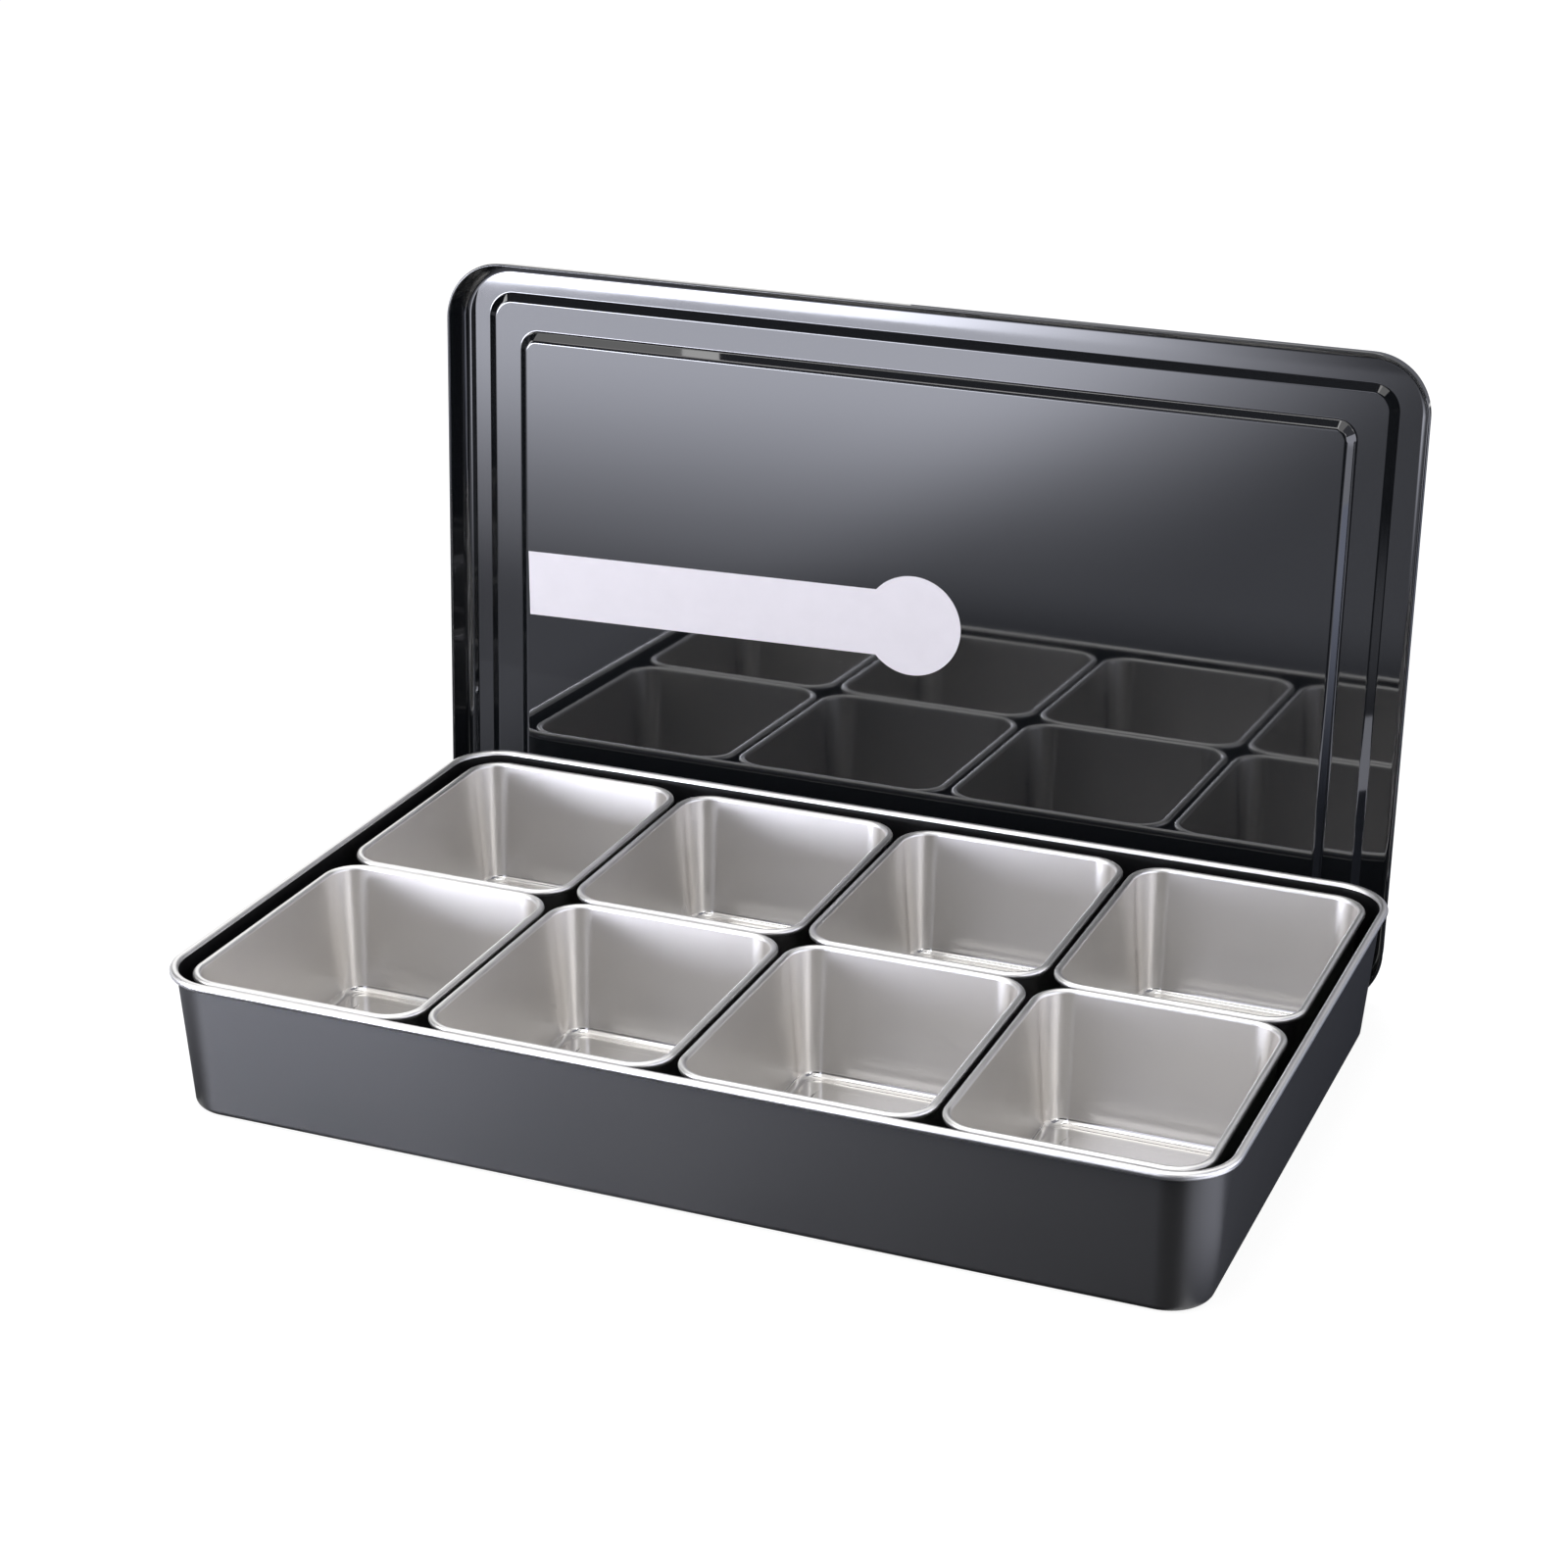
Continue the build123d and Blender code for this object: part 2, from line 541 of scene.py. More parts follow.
@dataclass(frozen=True)
class SteelFinish(Finish):
    """Bare stainless steel with a fine grain that runs level round the piece."""

    brushed: float = 0.0
    grain_depth: float = 0.0
    grain_scale: float = 90.0
    cloud_scale: float = 28.0
    roughness_play: float = 0.0
    tone_play: float = 0.0

    def surface(self, bench: NodeBench) -> bpy.types.Node:
        """Make metal whose roughness and relief follow its grain, with a slightly clouded tone.

        Args:
            bench: where its nodes go.

        Returns:
            The shader.
        """
        grain = bench.noise(LEVEL_GRAIN, self.grain_scale, detail=4.0)
        cloud = bench.spread(bench.noise(EVEN, self.cloud_scale), 0.0, 1.0)
        darker, lighter = tinted(self.colour, -self.tone_play), tinted(self.colour, self.tone_play)
        low, high = self.roughness - self.roughness_play, self.roughness + self.roughness_play
        shader = bench.add(
            "ShaderNodeBsdfPrincipled",
            {
                "Base Color": bench.blend(cloud, darker, lighter),
                "Metallic": 1.0,
                "Roughness": bench.spread(grain, low, high),
                "Normal": bench.bump(grain, self.grain_depth),
            },
        )
        if self.brushed:
            bench.brush(shader, self.brushed)
        return shader


@dataclass(frozen=True)
class CoatFinish(Finish):
    """A dark baked coat on steel, with a slight orange peel."""

    ior: float = 1.5
    brushed: float = 0.0
    peel_depth: float = 0.0
    peel_scale: float = 420.0
    drift_scale: float = 14.0
    roughness_play: float = 0.0

    def surface(self, bench: NodeBench) -> bpy.types.Node:
        """Make a coat whose roughness drifts a little and whose surface is slightly uneven.

        Args:
            bench: where its nodes go.

        Returns:
            The shader.
        """
        peel = bench.noise(EVEN, self.peel_scale)
        drift = bench.noise(EVEN, self.drift_scale, detail=3.0)
        low, high = self.roughness - self.roughness_play, self.roughness + self.roughness_play
        shader = bench.add(
            "ShaderNodeBsdfPrincipled",
            {
                "Base Color": (*self.colour, 1),
                "Roughness": bench.spread(drift, low, high),
                "IOR": self.ior,
                "Normal": bench.bump(peel, self.peel_depth),
            },
        )
        if self.brushed:
            bench.brush(shader, self.brushed)
        return shader


@dataclass(frozen=True)
class PaperFinish(Finish):
    """Coated sticker paper, slightly mottled."""

    mottle: float = 0.03
    mottle_scale: float = 90.0

    def surface(self, bench: NodeBench) -> bpy.types.Node:
        """Make matt paper with a faint mottle.

        Args:
            bench: where its nodes go.

        Returns:
            The shader.
        """
        cloud = bench.spread(bench.noise(EVEN, self.mottle_scale, detail=4.0), 0.0, 1.0)
        tone = bench.blend(cloud, tinted(self.colour, -self.mottle), self.colour)
        return bench.add("ShaderNodeBsdfPrincipled", {"Base Color": tone, "Roughness": self.roughness})


TRAY_COAT = CoatFinish(
    name="tray_satin_coat",
    colour=(0.006, 0.006, 0.008),
    roughness=0.45,
    ior=2.0,
    brushed=0.8,
    peel_depth=5e-7,
    roughness_play=0.02,
)
INSIDE_COAT = CoatFinish(
    name="inside_dull_coat",
    colour=(0.006, 0.006, 0.007),
    roughness=0.35,
    ior=1.4,
    peel_depth=5e-7,
    roughness_play=0.02,
)
LID_COAT = CoatFinish(
    name="lid_gloss_coat",
    colour=(0.007, 0.008, 0.010),
    roughness=0.03,
    ior=1.95,
    peel_depth=2e-7,
    peel_scale=300.0,
    roughness_play=0.01,
)
EDGE_STEEL = SteelFinish(
    name="edge_bare_steel",
    colour=(0.94, 0.93, 0.92),
    roughness=0.38,
    grain_depth=5e-8,
    roughness_play=0.02,
    tone_play=0.02,
)
PAN_STEEL = SteelFinish(
    name="pan_satin_steel",
    colour=(0.83, 0.812, 0.793),
    roughness=0.34,
    brushed=0.72,
    grain_depth=2e-8,
    roughness_play=0.01,
    tone_play=0.015,
)
# A darker copy of the pans' own steel for their outsides and undersides: painted shade for the gaps between
# the pans, where little light reaches
SHADED_OUTSIDE_STEEL = SteelFinish(
    name="pan_outside_steel_painted_shade",
    colour=(0.56, 0.555, 0.55),
    roughness=0.32,
    grain_depth=4e-9,
    roughness_play=0.01,
    tone_play=0.01,
)
# Polished steel for the pans' floors, darker than their walls' steel: the darkness is painted shade that
# holds the floors down
SHADED_FLOOR_STEEL = SteelFinish(
    name="pan_floor_steel_painted_shade",
    colour=(0.70, 0.69, 0.68),
    roughness=0.10,
    grain_depth=2e-8,
    roughness_play=0.02,
    tone_play=0.02,
)
BEAD_STEEL = replace(EDGE_STEEL, name="bead_polished_steel")
LABEL_PAPER = PaperFinish(name="label_paper", colour=(0.93, 0.90, 1.0), roughness=0.55)


# The object's own pieces


def put_on(piece: bpy.types.Object, *finishes: Finish) -> None:
    """Give the piece its finishes, in the order of its skins."""
    for finish in finishes:
        piece.data.materials.append(finish.material())


@dataclass
class Tray:
    """The deep pressed tray: flat floor, tapered walls and an edge rolled outward and under."""

    node: str = "tray"
    sheet: float = 0.8 * MM
    corner: float = 23.5 * MM
    roll: float = 1.2 * MM
    roll_tail: float = 0.5 * MM
    taper: float = 4.6 * MM
    floor_bend: float = 2.6 * MM
    floor_lap: float = 4.2 * MM
    bare_band: float = 1.7 * MM

    def rings(self) -> list[Ring]:
        """Draw the whole sheet in the size of the model's tray.

        Returns:
            The rings from the floor's top, over the rolled edge, to the underside.
        """
        low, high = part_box(self.node)
        size = high - low
        top = size.z - self.sheet / 2
        out = 2 * self.roll
        line = BentLine(
            points=[
                (-self.taper - self.floor_lap, self.sheet / 2),
                (-self.taper, self.sheet / 2),
                (0, top),
                (out, top),
                (out, top - out),
                (out - self.roll - self.roll_tail, top - out),
            ],
            bends=[self.floor_bend, self.roll, self.roll, self.roll],
            sheet=self.sheet,
        )
        bare_from = size.z - self.bare_band
        shown = [
            replace(stop, skin=Skin.TRIM if stop.at.y > bare_from or stop.at.x > 0 else Skin.FLOOR)
            for stop in line.left_face() + line.round_end()
        ]
        middle = Outline(size.x, size.y, self.corner).inset(self.sheet / 2 + out)
        return rings_of(middle, shown + line.right_face())

    def build(self) -> bpy.types.Object:
        """Make the tray's sheet and let it stand for the model's.

        Returns:
            The tray, which has no finishes yet.
        """
        piece = PressedShell("tray_sheet", self.rings(), Matrix.Identity(4), corner_steps=28).build()
        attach(piece, self.node)
        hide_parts(self.node)
        return piece

    def dress(self, piece: bpy.types.Object) -> None:
        """Coat the tray outside and inside, and leave its edge bare."""
        put_on(piece, TRAY_COAT, EDGE_STEEL, INSIDE_COAT)


@dataclass
class Pan:
    """One small pan: a raised floor panel, tapered walls and a rolled bead."""

    node: str
    sheet: float = 0.7 * MM
    corner: float = 14.8 * MM
    bead: float = 1.5 * MM
    taper: float = 4.0 * MM
    floor_bend: float = 3.6 * MM
    floor_lap: float = 4.4 * MM
    panel_inset: float = 8.4 * MM
    panel_corner: float = 7.0 * MM
    panel_rise: float = 0.9 * MM
    panel_slope: float = 1.6 * MM
    panel_lap: float = 1.2 * MM
    panel_bend: float = 0.8 * MM

    def wall(self, height: float) -> list[Stop]:
        """Draw the wall's section.

        Args:
            height: how high the pan is over its bead.

        Returns:
            The stops from the floor's top, over the bead, to the underside.
        """
        bead = Bead(Vector((self.bead - self.sheet / 2, height - self.bead)), self.bead)
        line = BentLine(
            points=[
                (-self.taper - self.floor_lap, self.sheet / 2),
                (-self.taper, self.sheet / 2),
                (0, bead.centre.y),
            ],
            bends=[self.floor_bend],
            sheet=self.sheet,
        )
        return bead.close(line)

    def step(self) -> BentLine:
        """Return the soft step from the floor's middle panel down to its border."""
        border = self.sheet / 2
        return BentLine(
            points=[
                (-2 * self.panel_lap - self.panel_slope, border + self.panel_rise),
                (-self.panel_lap - self.panel_slope, border + self.panel_rise),
                (-self.panel_lap, border),
                (0, border),
            ],
            bends=[self.panel_bend, self.panel_bend],
            sheet=self.sheet,
        )

    def rings(self) -> list[Ring]:
        """Draw the whole sheet in the size of the model's pan.

        Returns:
            The rings from the floor panel's top, over the bead, to the underside.
        """
        low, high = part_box(self.node)
        size = high - low
        middle = Outline(size.x, size.y, self.corner).inset(2 * self.bead - self.sheet / 2)
        panel = middle.inset(self.taper + self.panel_inset, self.panel_corner)
        step = self.step()
        inside = rings_of(panel, step.left_face()) + rings_of(middle, self.wall(size.z))
        floor_top = self.panel_rise + self.floor_bend / 2
        shown = [
            replace(ring, skin=Skin.FLOOR) if ring.skin is Skin.MAIN and ring.up < floor_top else ring
            for ring in inside
        ]
        under = [replace(ring, skin=Skin.BACK) for ring in rings_of(panel, step.right_face())]
        return shown + under

    def build(self) -> bpy.types.Object:
        """Make the pan's sheet where the model's pan stands.

        Returns:
            The pan, which has no finishes yet.
        """
        low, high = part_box(self.node)
        place = Matrix.Translation(((low.x + high.x) / 2, (low.y + high.y) / 2, low.z))
        piece = PressedShell(f"{self.node}_sheet", self.rings(), place).build()
        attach(piece, self.node)
        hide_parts(self.node)
        return piece

    def dress(self, piece: bpy.types.Object) -> None:
        """Finish the pan in satin steel inside, with a polished bead, a polished floor of darker steel, and
        darker steel outside; the darkness of the floor and of the outside is painted shade.
        """
        put_on(piece, PAN_STEEL, BEAD_STEEL, SHADED_FLOOR_STEEL, SHADED_OUTSIDE_STEEL)


@dataclass
class Lid:
    """The stepped lid, drawn with its open side up and then stood on a long edge behind the tray."""

    node: str = "lid"
    sheet: float = 0.7 * MM
    depth: float = 13.0 * MM
    width: float = 265.0 * MM
    corner: float = 25.0 * MM
    bead: float = 0.6 * MM
    draft: float = 1.6 * MM
    shoulder: float = 3.6 * MM
    outer_band: float = 14.1 * MM
    step_slope: float = 3.4 * MM
    step_bend: float = 2.0 * MM
    step_lap: float = 3.0 * MM
    outer_step: float = 1.5 * MM
    inner_band: float = 29.3 * MM
    inner_step: float = 3.0 * MM
    inner_corner: float = 10.3 * MM
    inner_lap: float = 2.3 * MM
    lean: float = math.radians(1.8)

    def rim(self) -> Outline:
        """Return the outline over the bead."""
        low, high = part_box(self.node)
        return Outline(high.x - low.x, self.width, self.corner)

    def place(self) -> Matrix:
        """Stand the lid on its long edge, leaning back, with its open side to the front.

        Returns:
            The turn and the shift from the lid as drawn to the lid as it stands.
        """
        low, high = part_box(self.node)
        upright = Matrix.Rotation(QUARTER_TURN - self.lean, 4, "X")
        foot = Vector((0, self.bead - self.width / 2, self.depth - self.bead))
        stands = Vector(((low.x + high.x) / 2, low.y + self.bead, low.z + self.bead))
        return Matrix.Translation(stands - upright @ foot) @ upright

    def inner_outline(self) -> Outline:
        """Return the outline where the step down to the middle panel starts."""
        return self.rim().inset(self.inner_band - self.inner_lap, self.inner_corner)

    def panel_level(self) -> float:
        """Return the height of the middle panel's sheet above the outer band's outside."""
        return self.sheet / 2 + self.outer_step + self.inner_step

    def step(self) -> BentLine:
        """Return the step from the middle panel to the inner band."""
        band = self.sheet / 2 + self.outer_step
        return BentLine(
            points=[
                (-2 * self.inner_lap - self.step_slope, self.panel_level()),
                (-self.inner_lap - self.step_slope, self.panel_level()),
                (-self.inner_lap, band),
                (0, band),
            ],
            bends=[self.step_bend, self.step_bend],
            sheet=self.sheet,
        )

    def skirt(self) -> list[Stop]:
        """Draw the section between the two steps and the bead.

        Returns:
            The stops from the inner band, over the outer step, the shoulder and the bead, and back.
        """
        outer_level = self.sheet / 2
        inner_level = outer_level + self.outer_step
        bead = Bead(Vector((-self.bead, self.depth - self.bead)), self.bead, steps=28)
        line = BentLine(
            points=[
                (-self.outer_band - self.step_slope - self.step_lap, inner_level),
                (-self.outer_band - self.step_slope, inner_level),
                (-self.outer_band, outer_level),
                (-self.bead - self.draft, outer_level),
                (-self.bead, bead.centre.y),
            ],
            bends=[self.step_bend, self.step_bend, self.shoulder],
            sheet=self.sheet,
        )
        return bead.close(line)

    def build(self) -> bpy.types.Object:
        """Make the lid's sheet where the model's lid stands.

        Returns:
            The lid, which has no finishes yet.
        """
        step = self.step()
        rings = (
            rings_of(self.inner_outline(), step.left_face())
            + rings_of(self.rim(), self.skirt())
            + rings_of(self.inner_outline(), step.right_face())
        )
        piece = PressedShell("lid_sheet", rings, self.place(), corner_steps=28).build()
        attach(piece, self.node)
        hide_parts(self.node)
        return piece

    def dress(self, piece: bpy.types.Object) -> None:
        """Coat the lid all over, its bead too."""
        put_on(piece, LID_COAT, LID_COAT, LID_COAT, LID_COAT)


@dataclass
class Label:
    """The blank sticker on the lid's middle panel: a strip from the panel's left edge to a round end."""

    lid: Lid
    start: Point = (-172.0 * MM, -4.6 * MM)
    length: float = 173.5 * MM
    tilt: float = math.radians(1.3)
    half_width: float = 13.9 * MM
    disc: float = 21.0 * MM
    thickness: float = 0.2 * MM
    disc_steps: int = 72

    def outline(self) -> list[Vector]:
        """Draw the strip and its round end.

        Returns:
            The sticker's outline, counter-clockwise from the strip's lower left corner.
        """
        joint = math.asin(self.half_width / self.disc)
        first, sweep = joint - HALF_TURN, FULL_TURN - 2 * joint
        middle = Vector((self.length, 0))
        turns = [first + sweep * step / self.disc_steps for step in range(self.disc_steps + 1)]
        round_end = [middle + heading(turn) * self.disc for turn in turns]
        return [Vector((0, -self.half_width)), *round_end, Vector((0, self.half_width))]

    def build(self) -> bpy.types.Object:
        """Make the sticker as a thin sheet on the panel's inner face.

        Returns:
            The sticker, which has no finish yet.
        """
        base = self.lid.panel_level() + self.lid.sheet / 2
        around = [Matrix.Rotation(self.tilt, 2) @ point + Vector(self.start) for point in self.outline()]
        place = self.lid.place()
        vertices = [place @ Vector((p.x, p.y, base + up)) for up in (0, self.thickness) for p in around]
        count = len(around)
        sides = [(i, (i + 1) % count, count + (i + 1) % count, count + i) for i in range(count)]
        faces = [tuple(reversed(range(count))), tuple(range(count, 2 * count)), *sides]
        mesh = bpy.data.meshes.new("lid_label")
        mesh.from_pydata(vertices, [], faces)
        piece = put_in_scene("lid_label", mesh)
        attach(piece, self.lid.node)
        return piece

    def dress(self, piece: bpy.types.Object) -> None:
        """Cover the sticker in pale paper."""
        put_on(piece, LABEL_PAPER)


# Stage, light and camera


Sheet = tuple[Place, Place, Place, Place]

# Where the floor's cards lie: just over it, and from a little clear of the tray's base out to these edges
CARD_LIFT = 0.6 * MM
BASE_END = 0.1945
BASE_FRONT = -0.123
FLOOR_SIDES = (-2.2, 1.6)
FLOOR_BACK = 1.3

# How far in front of the tray's middle the front cards stand
FRONT = -1.1


def leaning_sheet(sides: Point, near: Point, far: Point) -> Sheet:
    """Return the corners of a flat sheet that runs level from left to right.

    Args:
        sides: where its left and its right edge are.
        near: how far back, and how high, its first long edge is.
        far: how far back, and how high, its other long edge is.

    Returns:
        Its corners in order.
    """
    left, right = sides
    return (left, *near), (right, *near), (right, *far), (left, *far)


def level_sheet(sides: Point, depths: Point, up: float = CARD_LIFT) -> Sheet:
    """Return the corners of a flat sheet that lies level between these sides and depths."""
    return leaning_sheet(sides, (depths[0], up), (depths[1], up))


def upright_sheet(start: Point, end: Point, heights: Point) -> Sheet:
    """Return the corners of a flat sheet that stands on the line from start to end, between two heights."""
    low, high = heights
    return (*start, low), (*end, low), (*end, high), (*start, high)


def sheet_mesh(name: str, sheet: Sheet) -> bpy.types.Mesh:
    """Make a mesh of one flat face.

    Args:
        name: the mesh's name.
        sheet: the corners of its face.

    Returns:
        The mesh.
    """
    mesh = bpy.data.meshes.new(name)
    mesh.from_pydata(sheet, [], [(0, 1, 2, 3)])
    return mesh


@dataclass(frozen=True)
class Softbox:
    """A soft rectangular lamp that looks at one point."""

    name: str
    place: Place
    aim: Place
    size: Point
    power: float
    colour: Colour = WHITE

    def build(self) -> bpy.types.Object:
        """Make the lamp, which the camera doesn't see.

        Returns:
            The lamp.
        """
        data = bpy.data.lights.new(self.name, "AREA")
        data.shape = "RECTANGLE"
        data.size, data.size_y = self.size
        data.energy = self.power
        data.color = self.colour
        lamp = put_in_scene(self.name, data)
        lamp.location = self.place
        lamp.rotation_euler = (Vector(self.aim) - Vector(self.place)).to_track_quat("-Z", "Y").to_euler()
        lamp.visible_camera = False
        return lamp


class Axis(Enum):
    """The stage's level axes."""

    X = "X"
    Y = "Y"


@dataclass(frozen=True)
class Fade:
    """How a glow rises along one axis, from nothing at one place to all of it at another."""

    axis: Axis
    dark_at: float
    bright_at: float


@dataclass(frozen=True)
class Glow:
    """One patch of brightness on a card: how bright it is, and the fades that bound it."""

    level: float
    fades: tuple[Fade, ...] = ()


@dataclass(frozen=True)
class Card:
    """A card that only reflections see, to shape them as a photographer's flags and reflectors do."""

    name: str
    corners: Sheet
    level: float
    glows: tuple[Glow, ...] = ()
    colour: Colour = (0.86, 0.88, 1.0)

    def strength(self, bench: NodeBench) -> bpy.types.NodeSocket:
        """Add up the card's even brightness and its glows.

        Args:
            bench: where the card's nodes go.

        Returns:
            How bright the card is at each place.
        """
        place = bench.add("ShaderNodeTexCoord").outputs["Object"]
        axes = bench.add("ShaderNodeSeparateXYZ", {"Vector": place}).outputs
        total = bench.number(self.level)
        for glow in self.glows:
            patch = bench.number(glow.level)
            for fade in glow.fades:
                risen = bench.add(
                    "ShaderNodeMapRange",
                    {"Value": axes[fade.axis.value], "From Min": fade.dark_at, "From Max": fade.bright_at},
                    interpolation_type="SMOOTHSTEP",
                )
                patch = bench.math("MULTIPLY", patch, risen.outputs["Result"])
            total = bench.math("ADD", total, patch)
        return total

    def build(self) -> bpy.types.Object:
        """Make the card, which casts no shadow and neither the camera nor a matt surface sees.

        Returns:
            The card.
        """
        mesh = sheet_mesh(self.name, self.corners)
        card = put_in_scene(self.name, mesh)
        material = bpy.data.materials.new(self.name)
        bench = new_bench(material)
        strength = self.strength(bench)
        light = bench.add("ShaderNodeEmission", {"Color": (*self.colour, 1), "Strength": strength})
        bench.add("ShaderNodeOutputMaterial", {"Surface": light.outputs[0]})
        mesh.materials.append(material)
        card.visible_camera = False
        card.visible_diffuse = False
        card.visible_shadow = False
        return card


@dataclass
class Studio:
    """A white floor and white surroundings, softboxes, and cards that the coats and the steel reflect."""

    floor_half: float = 4.0
    ambient: float = 0.70
    floor_glow: float = 0.86
    floor_paint: float = 0.26
    floor_white: float = 0.75
    lamps: list[Softbox] = field(
        default_factory=lambda: [
            Softbox("overhead_softbox", (-0.15, 0.0, 1.25), (0.0, 0.0, 0.0), (1.1, 0.8), 5.0),
            Softbox("left_softbox", (-1.3, -0.6, 0.75), (0.0, 0.0, 0.05), (0.7, 0.7), 5.0),
            Softbox("right_softbox", (1.25, -0.75, 0.7), (0.0, 0.0, 0.05), (0.25, 0.6), 2.0),
        ]
    )
    cards: list[Card] = field(
        default_factory=lambda: [
            # The floor cards are painted shade and painted light on the floor as only reflections see it:
            # dark next to the tray's base, with brighter pools farther out
            Card(
                "floor_card",
                level_sheet(FLOOR_SIDES, (-2.4, BASE_FRONT)),
                level=0.03,
                glows=(
                    Glow(2.9, (Fade(Axis.Y, -0.27, -1.02), Fade(Axis.X, -0.02, -0.38))),
                    Glow(0.4, (Fade(Axis.X, -0.18, -0.32),)),
                    Glow(0.38, (Fade(Axis.Y, -0.22, -0.45), Fade(Axis.X, 0.22, 0.10))),
                    Glow(1.3, (Fade(Axis.X, 0.35, 0.80), Fade(Axis.Y, -0.55, -0.15))),
                ),
            ),
            Card(
                "right_floor_card",
                level_sheet((BASE_END, FLOOR_SIDES[1]), (BASE_FRONT, FLOOR_BACK)),
                level=0.08,
                glows=(Glow(1.3, (Fade(Axis.X, 0.35, 0.80),)),),
                colour=(0.70, 0.76, 1.0),
            ),
            Card("back_floor_card", level_sheet((-BASE_END, BASE_END), (0.17, FLOOR_BACK)), level=0.08),
            Card(
                "left_floor_card",
                level_sheet((FLOOR_SIDES[0], -BASE_END), (BASE_FRONT, FLOOR_BACK)),
                level=0.08,
                glows=(Glow(0.4, (Fade(Axis.X, -0.18, -0.32),)),),
            ),
            Card(
                "front_left_reflector",
                upright_sheet((-1.15, FRONT), (0.0, FRONT), (0.02, 0.24)),
                level=0.3,
                glows=(Glow(30.0, (Fade(Axis.X, -0.04, -1.1),)),),
            ),
            Card(
                "left_reflector",
                upright_sheet((-1.55, -0.45), (-1.15, FRONT), (0.02, 0.55)),
                level=0.3,
                glows=(Glow(8.5, (Fade(Axis.Y, -0.60, -1.08),)),),
            ),
            Card(
                "high_reflector",
                leaning_sheet((-0.70, 0.30), (-0.85, 0.92), (-0.40, 1.20)),
                level=2.0,
                colour=(1.0, 0.99, 0.97),
            ),
            Card(
                "front_dark_flag",
                upright_sheet((0.0, FRONT), (1.1, FRONT), (0.09, 0.90)),
                level=0.02,
                glows=(Glow(1.2, (Fade(Axis.X, 0.14, 0.0),)),),
            ),
            Card(
                "front_grey_flag",
                upright_sheet((-1.15, FRONT), (0.05, FRONT), (0.24, 0.98)),
                level=0.25,
                glows=(Glow(1.0, (Fade(Axis.X, -0.70, 0.0),)),),
            ),
            Card(
                "front_high_reflector",
                leaning_sheet((-0.95, 0.05), (FRONT, 0.98), (-1.0, 1.60)),
                level=0.6,
                glows=(Glow(0.9, (Fade(Axis.X, -0.70, 0.0),)),),
            ),
            Card("right_reflector", upright_sheet((1.15, -0.90), (1.05, 0.50), (0.0, 0.5)), level=2.1),
            Card("left_grey_flag", upright_sheet((-1.40, FRONT), (-1.40, 0.90), (0.30, 1.50)), level=0.10),
            # A painted pool of light on the floor by the tray's front right corner, which only reflections
            # see
            Card("corner_floor_card", level_sheet((0.22, 0.60), (-0.17, -0.07), 2 * CARD_LIFT), level=1.3),
            Card("right_grey_flag", upright_sheet((1.25, FRONT), (1.1, 0.6), (0.5, 1.9)), level=0.30),
            Card("lid_flag", level_sheet((-0.32, 0.15), (-0.07, 0.05), 0.75), level=0.10),
            Card("lid_step_flag", upright_sheet((-0.40, -0.05), (0.18, -0.05), (0.30, 0.45)), level=0.08),
            Card("back_flag", upright_sheet((-0.45, 1.4), (1.6, 1.4), (0.0, 1.1)), level=0.25),
        ]
    )

    def white_seen(self, bench: NodeBench) -> bpy.types.NodeSocket:
        """Tell the rays that see the white background from those that only light the scene.

        Args:
            bench: where the nodes go.

        Returns:
            1 for camera, glossy and transmission rays, and 0 for all others.
        """
        rays = bench.add("ShaderNodeLightPath").outputs
        plain = bench.math("MAXIMUM", rays["Is Camera Ray"], rays["Is Glossy Ray"])
        return bench.math("MAXIMUM", plain, rays["Is Transmission Ray"])

    def build_world(self) -> None:
        """Surround the scene with white, and light it with a plain ambient level."""
        world = bpy.data.worlds.new("white_surround")
        bench = new_bench(world)
        strength = bench.add(
            "ShaderNodeMapRange",
            {"Value": self.white_seen(bench), "To Min": self.ambient, "To Max": 1.0},
        )
        light = bench.add(
            "ShaderNodeBackground",
            {"Color": (*WHITE, 1), "Strength": strength.outputs["Result"]},
        )
        bench.add("ShaderNodeOutputWorld", {"Surface": light.outputs[0]})
        bpy.context.scene.world = world

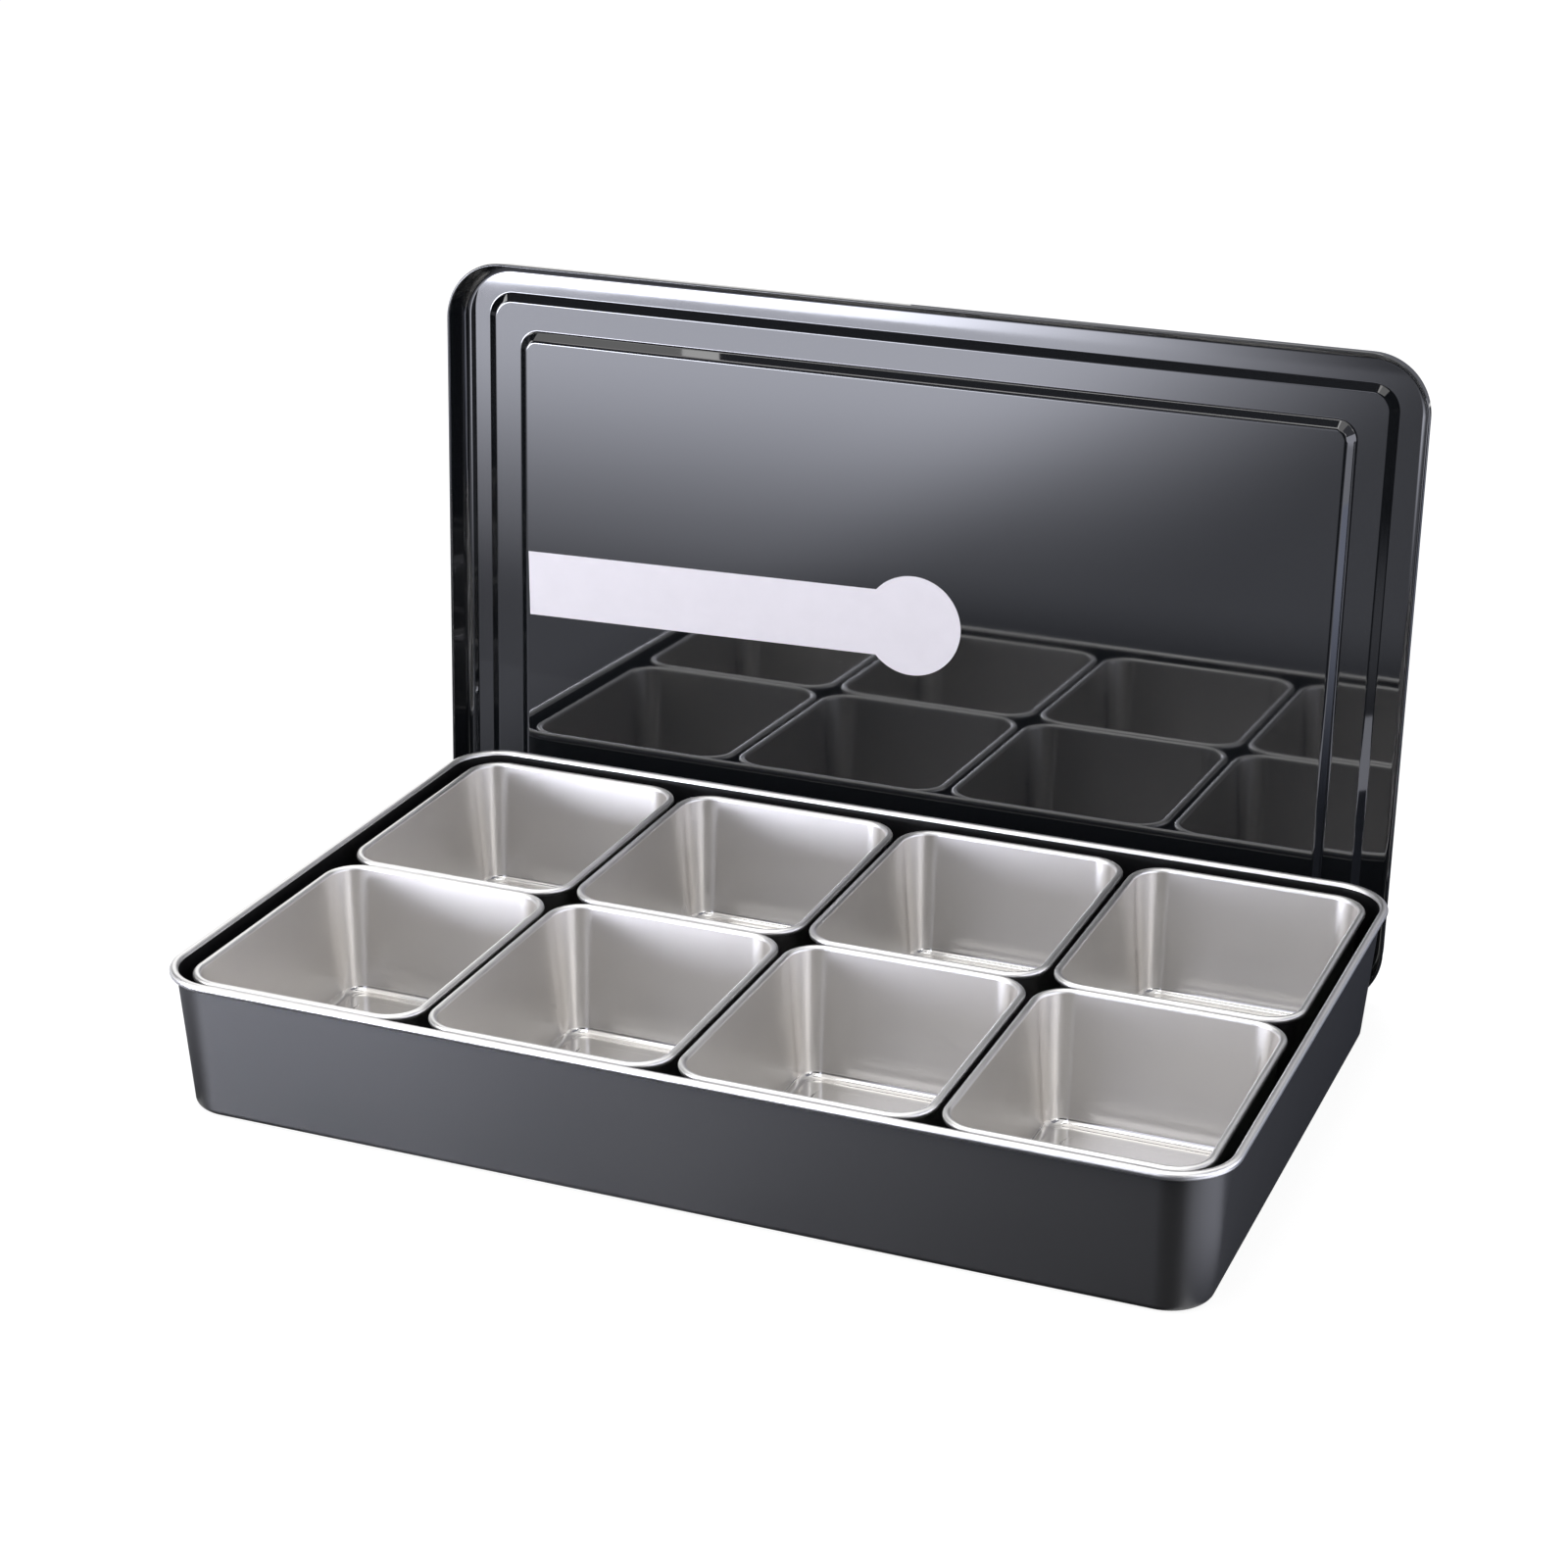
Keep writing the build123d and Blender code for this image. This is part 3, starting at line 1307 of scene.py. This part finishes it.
    def build_floor(self) -> None:
        """Lay a white floor that keeps the object's shadow."""
        half = self.floor_half
        mesh = sheet_mesh("studio_floor", level_sheet((-half, half), (-half, half), 0.0))
        floor = put_in_scene("studio_floor", mesh)
        material = bpy.data.materials.new("floor_white")
        bench = new_bench(material)
        paint = bench.add("ShaderNodeBsdfDiffuse", {"Color": (*[self.floor_white] * 3, 1)})
        dim_paint = bench.add("ShaderNodeBsdfDiffuse", {"Color": (*[self.floor_paint] * 3, 1)})
        glow = bench.add("ShaderNodeEmission", {"Color": (*WHITE, 1), "Strength": self.floor_glow})
        seen = bench.add("ShaderNodeAddShader")
        bench.tree.links.new(dim_paint.outputs[0], seen.inputs[0])
        bench.tree.links.new(glow.outputs[0], seen.inputs[1])
        chosen = bench.add("ShaderNodeMixShader", {"Fac": self.white_seen(bench)})
        bench.tree.links.new(paint.outputs[0], chosen.inputs[1])
        bench.tree.links.new(seen.outputs[0], chosen.inputs[2])
        bench.add("ShaderNodeOutputMaterial", {"Surface": chosen.outputs[0]})
        mesh.materials.append(material)

    def build(self) -> None:
        """Set up the whole stage."""
        self.build_world()
        self.build_floor()
        for thing in [*self.lamps, *self.cards]:
            thing.build()


@dataclass(frozen=True)
class PhotoCamera:
    """The camera where the photograph's stood, fitted to the tray's rim, base and lid."""

    place: Place = (0.4199, -1.0561, 0.5614)
    yaw: float = math.radians(21.90)
    pitch: float = math.radians(-21.41)
    roll: float = math.radians(0.58)
    lens_mm: float = 75.58
    sensor_mm: float = 36.0
    clips: Point = (0.05, 20.0)

    def build(self) -> bpy.types.Object:
        """Make the camera and let the scene use it.

        Returns:
            The camera.
        """
        data = bpy.data.cameras.new("photo_camera")
        data.lens = self.lens_mm
        data.sensor_width = self.sensor_mm
        data.clip_start, data.clip_end = self.clips
        camera = put_in_scene("photo_camera", data)
        turn = Matrix.Rotation(self.yaw, 4, "Z") @ Matrix.Rotation(QUARTER_TURN + self.pitch, 4, "X")
        camera.matrix_world = Matrix.Translation(self.place) @ turn @ Matrix.Rotation(self.roll, 4, "Z")
        bpy.context.scene.camera = camera
        return camera


def corners(bounds: tuple[Vector, Vector]) -> list[list[float]]:
    """Return the two corners of a box as plain lists."""
    return [list(corner) for corner in bounds]


def main() -> None:
    """Build the pieces, the stage and the camera."""
    logging.basicConfig(level=logging.INFO, format="%(message)s")
    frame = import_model()
    lid = Lid()
    pan_nodes = sorted(node for node in frame["nodes"] if node.startswith("pan_"))
    for part in [Tray(), *[Pan(node) for node in pan_nodes], lid, Label(lid)]:
        piece = part.build()
        part.dress(piece)
        LOG.info("built %s with %d faces", piece.name, len(piece.data.polygons))
    Studio().build()
    PhotoCamera().build()
    bpy.context.scene.view_settings.view_transform = "Standard"


if __name__ == "__main__":
    main()
